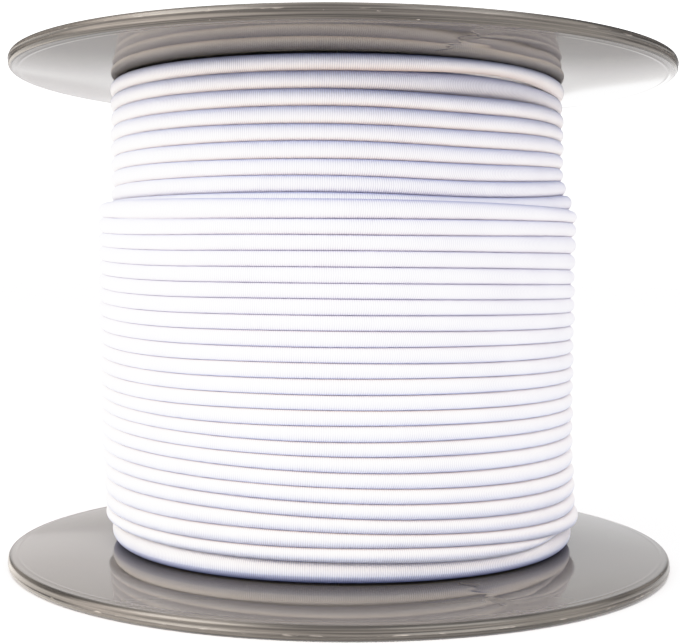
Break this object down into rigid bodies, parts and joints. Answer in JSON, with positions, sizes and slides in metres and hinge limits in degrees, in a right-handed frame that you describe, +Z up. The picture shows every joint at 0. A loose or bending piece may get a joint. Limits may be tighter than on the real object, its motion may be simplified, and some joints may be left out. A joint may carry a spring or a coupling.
{
  "type": "roll of elastic cord on a reel",
  "caption": "Upright reel of round white elastic cord, wound in close turns between grey moulded plastic flanges.",
  "frame": {"origin": "middle of the face that the reel stands on", "axes": "+Z up along the reel's axis, and the front seen in the picture faces -Y"},
  "size_m": [0.15, 0.15, 0.1123],
  "materials": {
    "reel_plastic": "polished mid grey",
    "elastic": "white textile cover, finely ribbed across the cord"
  },
  "bodies": {
    "root": {"flange_lower": "reel_plastic", "flange_upper": "reel_plastic", "cord_winding": "elastic"}
  },
  "joints": []
}
